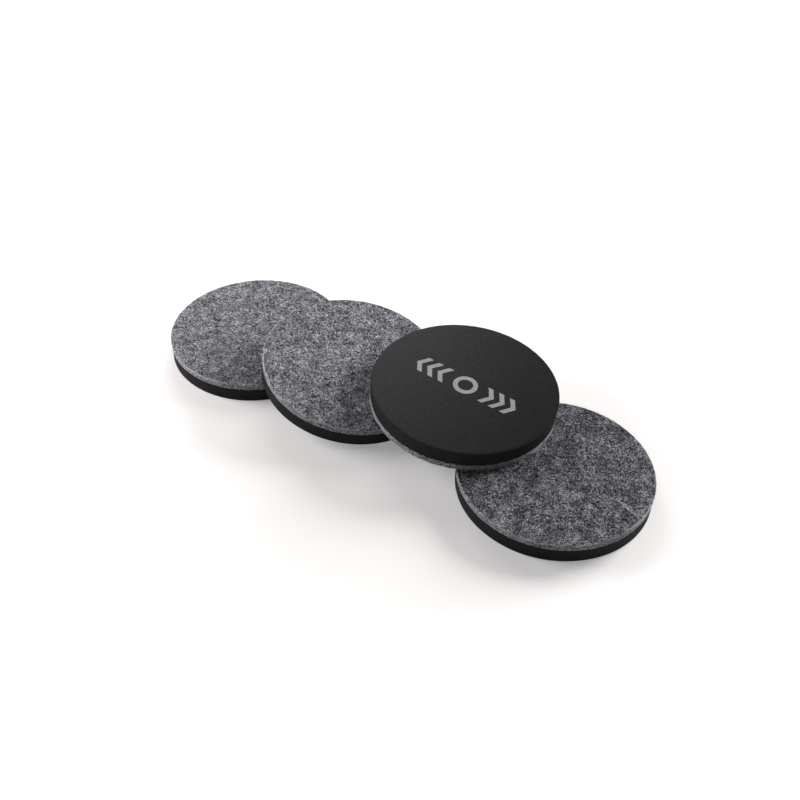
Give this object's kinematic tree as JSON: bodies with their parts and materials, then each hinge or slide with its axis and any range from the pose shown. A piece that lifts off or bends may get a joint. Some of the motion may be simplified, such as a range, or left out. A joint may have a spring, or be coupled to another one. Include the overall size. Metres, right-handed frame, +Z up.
{
  "type": "furniture slider set",
  "caption": "Round furniture sliders of grey needle felt glued to charcoal foam, laid in an overlapping row. Foam grips the furniture leg and felt glides on the floor.",
  "frame": {"origin": "middle of the row's footprint, on the floor", "axes": "+X along the row from slider 1 to slider 4, +Y to the back, +Z up"},
  "size_m": [0.263, 0.101, 0.0258],
  "materials": {
    "foam": "matte closed-cell foam",
    "adhesive": "dull glue film",
    "felt": "mottled needle felt"
  },
  "bodies": {
    "slider_1": {"slider_1_foam": "foam", "slider_1_adhesive": "adhesive", "slider_1_felt": "felt"},
    "slider_2": {"slider_2_foam": "foam", "slider_2_adhesive": "adhesive", "slider_2_felt": "felt"},
    "slider_3": {"slider_3_foam": "foam", "slider_3_adhesive": "adhesive", "slider_3_felt": "felt"},
    "slider_4": {"slider_4_foam": "foam", "slider_4_adhesive": "adhesive", "slider_4_felt": "felt"}
  },
  "joints": [
    {"name": "slider_2_slide", "type": "slide", "parent": "slider_1", "child": "slider_2", "axis": [0, -1, 0], "range_m": [0, 0.08]},
    {"name": "slider_3_lift", "type": "slide", "parent": "slider_1", "child": "slider_3", "axis": [0, 0, 1], "range_m": [0, 0.06]},
    {"name": "slider_4_slide", "type": "slide", "parent": "slider_1", "child": "slider_4", "axis": [1, 0, 0], "range_m": [0, 0.06]}
  ]
}
